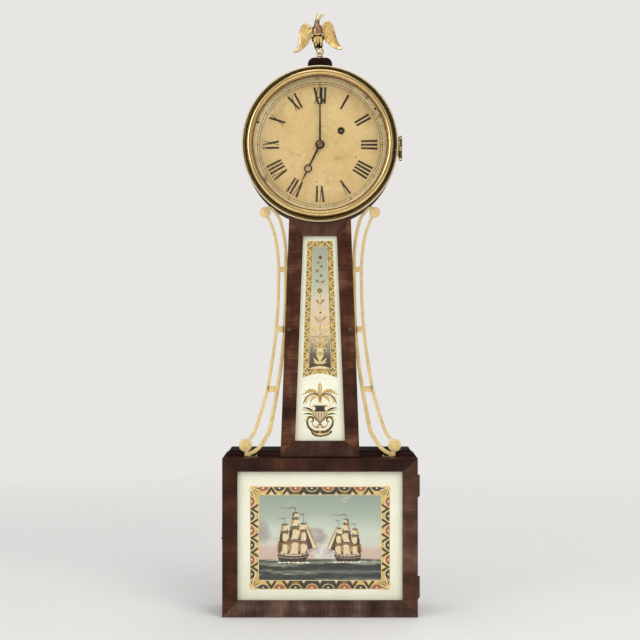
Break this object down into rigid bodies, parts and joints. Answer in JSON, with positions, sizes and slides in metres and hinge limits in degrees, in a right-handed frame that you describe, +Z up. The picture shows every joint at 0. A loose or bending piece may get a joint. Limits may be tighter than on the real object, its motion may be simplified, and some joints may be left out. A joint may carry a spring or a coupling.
{
  "type": "banjo clock",
  "caption": "Wall clock with a round head, tapering throat and hinged box; weight-driven movement, swinging pendulum, brass side arms and bird finial.",
  "frame": {"origin": "on the flat back plane, behind the middle of the dial", "axes": "+Z up, -Y out of the wall towards the viewer, +X to the viewer's right; +Y points into the wall"},
  "size_m": [0.2633, 0.097, 0.8037],
  "materials": {
    "mahogany": "french polish over crossbanded veneer, worn",
    "dark_mahogany": "dark shellac, satin",
    "pine": "bare, aged",
    "brass": "polished, lightly tarnished",
    "gilt_brass": "cast, fire gilt, toned",
    "blued_steel": "blued, dark",
    "iron": "black, dull",
    "dial_paint": "aged cream paint",
    "clear_glass": "clear, convex",
    "tablet_glass": "painted on the back, gloss",
    "gut": "twisted gut line",
    "tin": "dull tinplate",
    "polished_steel": "turned and polished"
  },
  "bodies": {
    "case": {"backboard": "pine", "hanger_plate": "iron", "head_ring": "mahogany", "throat_side_left": "mahogany", "throat_side_right": "mahogany", "throat_frame": "mahogany", "throat_tablet": "tablet_glass", "throat_screw_left": "brass", "throat_screw_right": "brass", "box_side_left": "mahogany", "box_side_right": "mahogany", "box_bottom": "mahogany", "box_top": "mahogany", "top_moulding_left": "dark_mahogany", "top_moulding_right": "dark_mahogany", "finial_plinth": "dark_mahogany", "eagle_finial": "gilt_brass", "side_arm_left": "brass", "side_arm_right": "brass", "door_hinge_case_upper": "brass", "door_hinge_case_lower": "brass", "bezel_hinge_case": "brass", "dial": "dial_paint", "seatboard": "pine", "back_plate": "brass", "front_plate": "brass", "pillar_lower_left": "brass", "pillar_lower_right": "brass", "pillar_upper_left": "brass", "pillar_upper_right": "brass", "pendulum_bridge": "brass", "weight_baffle": "tin", "weight_cord": "gut"},
    "bezel_assembly": {"bezel": "brass", "bezel_glass": "clear_glass", "bezel_hinge_leaf": "brass"},
    "door": {"door_frame": "mahogany", "door_tablet": "tablet_glass", "door_hinge_leaf_upper": "brass", "door_hinge_leaf_lower": "brass", "door_hook_pin": "brass"},
    "hook": {"door_hook": "brass"},
    "minute_arbor": {"center_wheel": "brass", "cannon_pinion": "polished_steel", "minute_hand": "blued_steel", "hand_collet": "brass"},
    "hour_pipe": {"hour_wheel": "brass", "hour_hand": "blued_steel"},
    "motion_wheel": {"minute_wheel": "brass"},
    "great": {"great_wheel": "brass"},
    "click": {"click": "polished_steel"},
    "drum": {"winding_drum": "polished_steel"},
    "third": {"third_wheel": "brass"},
    "escape": {"escape_wheel": "brass"},
    "pallets": {"pallet_anchor": "polished_steel"},
    "pendulum": {"pendulum_rod": "iron"},
    "bob": {"pendulum_bob": "brass"},
    "nut": {"rating_nut": "brass"},
    "weight": {"weight": "iron"},
    "pulley": {"pulley": "brass"}
  },
  "joints": [
    {"name": "bezel_swing", "type": "hinge", "parent": "case", "child": "bezel_assembly", "pos_m": [0.1065, -0.0815, -0.0065], "axis": [0, 0, 1], "range_deg": [0, 110]},
    {"name": "door_swing", "type": "hinge", "parent": "case", "child": "door", "pos_m": [0.1306, -0.0775, -0.519], "axis": [0, 0, 1], "range_deg": [0, 105]},
    {"name": "hook_drop", "type": "hinge", "parent": "case", "child": "hook", "pos_m": [-0.1296, -0.071, -0.519], "axis": [1, 0, 0], "range_deg": [0, 100]},
    {"name": "hands_turn", "type": "hinge", "parent": "case", "child": "minute_arbor", "pos_m": [0, -0.05, 0], "axis": [0, 1, 0], "continuous": true},
    {"name": "hour_turn", "type": "hinge", "parent": "case", "child": "hour_pipe", "pos_m": [0, -0.05, 0], "axis": [0, 1, 0], "continuous": true},
    {"name": "motion_turn", "type": "hinge", "parent": "case", "child": "motion_wheel", "pos_m": [-0.0085, -0.058, -0.0085], "axis": [0, 1, 0], "continuous": true},
    {"name": "great_turn", "type": "hinge", "parent": "case", "child": "great", "pos_m": [0.0279, -0.026, 0.0186], "axis": [0, 1, 0], "continuous": true},
    {"name": "third_turn", "type": "hinge", "parent": "case", "child": "third", "pos_m": [-0.01665, -0.045, 0.01438], "axis": [0, 1, 0], "continuous": true},
    {"name": "escape_turn", "type": "hinge", "parent": "case", "child": "escape", "pos_m": [-0.0065, -0.04, 0.027], "axis": [0, 1, 0], "continuous": true},
    {"name": "click_lift", "type": "hinge", "parent": "great", "child": "click", "pos_m": [0.0281, -0.028, 0.0342], "axis": [0, -1, 0], "range_deg": [0, 10]},
    {"name": "drum_wind", "type": "hinge", "parent": "great", "child": "drum", "pos_m": [0.0279, -0.038, 0.0186], "axis": [0, 1, 0], "range_deg": [0, 4285]},
    {"name": "weight_travel", "type": "slide", "parent": "case", "child": "weight", "axis": [0, 0, 1], "range_m": [0, 0.34], "deforming": ["weight_cord"]},
    {"name": "pulley_turn", "type": "hinge", "parent": "weight", "child": "pulley", "pos_m": [0, -0.038, -0.436], "axis": [0, -1, 0], "range_deg": [0, 1037]},
    {"name": "pendulum_swing", "type": "hinge", "parent": "case", "child": "pendulum", "pos_m": [0, -0.0625, 0.046], "axis": [0, 1, 0], "range_deg": [-3, 3]},
    {"name": "pallet_rock", "type": "hinge", "parent": "case", "child": "pallets", "pos_m": [0, -0.045, 0.046], "axis": [0, 1, 0], "range_deg": [-3.05, 3.05]},
    {"name": "bob_height", "type": "slide", "parent": "pendulum", "child": "bob", "axis": [0, 0, 1], "range_m": [-0.004, 0.004]},
    {"name": "nut_turn", "type": "hinge", "parent": "bob", "child": "nut", "pos_m": [0, -0.0625, -0.5535], "axis": [0, 0, 1], "range_deg": [-1442, 1442]}
  ],
  "couplings": [
    {"joint": "hour_turn", "follows": "hands_turn", "ratio": 0.083333},
    {"joint": "motion_turn", "follows": "hands_turn", "ratio": -0.33333},
    {"joint": "great_turn", "follows": "hands_turn", "ratio": -0.0625},
    {"joint": "third_turn", "follows": "hands_turn", "ratio": -10},
    {"joint": "escape_turn", "follows": "hands_turn", "ratio": 80},
    {"joint": "drum_wind", "follows": "weight_travel", "rad_per_m": 219.78},
    {"joint": "pulley_turn", "follows": "weight_travel", "rad_per_m": 53.191},
    {"joint": "pallet_rock", "follows": "pendulum_swing", "ratio": 1},
    {"joint": "nut_turn", "follows": "bob_height", "rad_per_m": 6283.2}
  ]
}
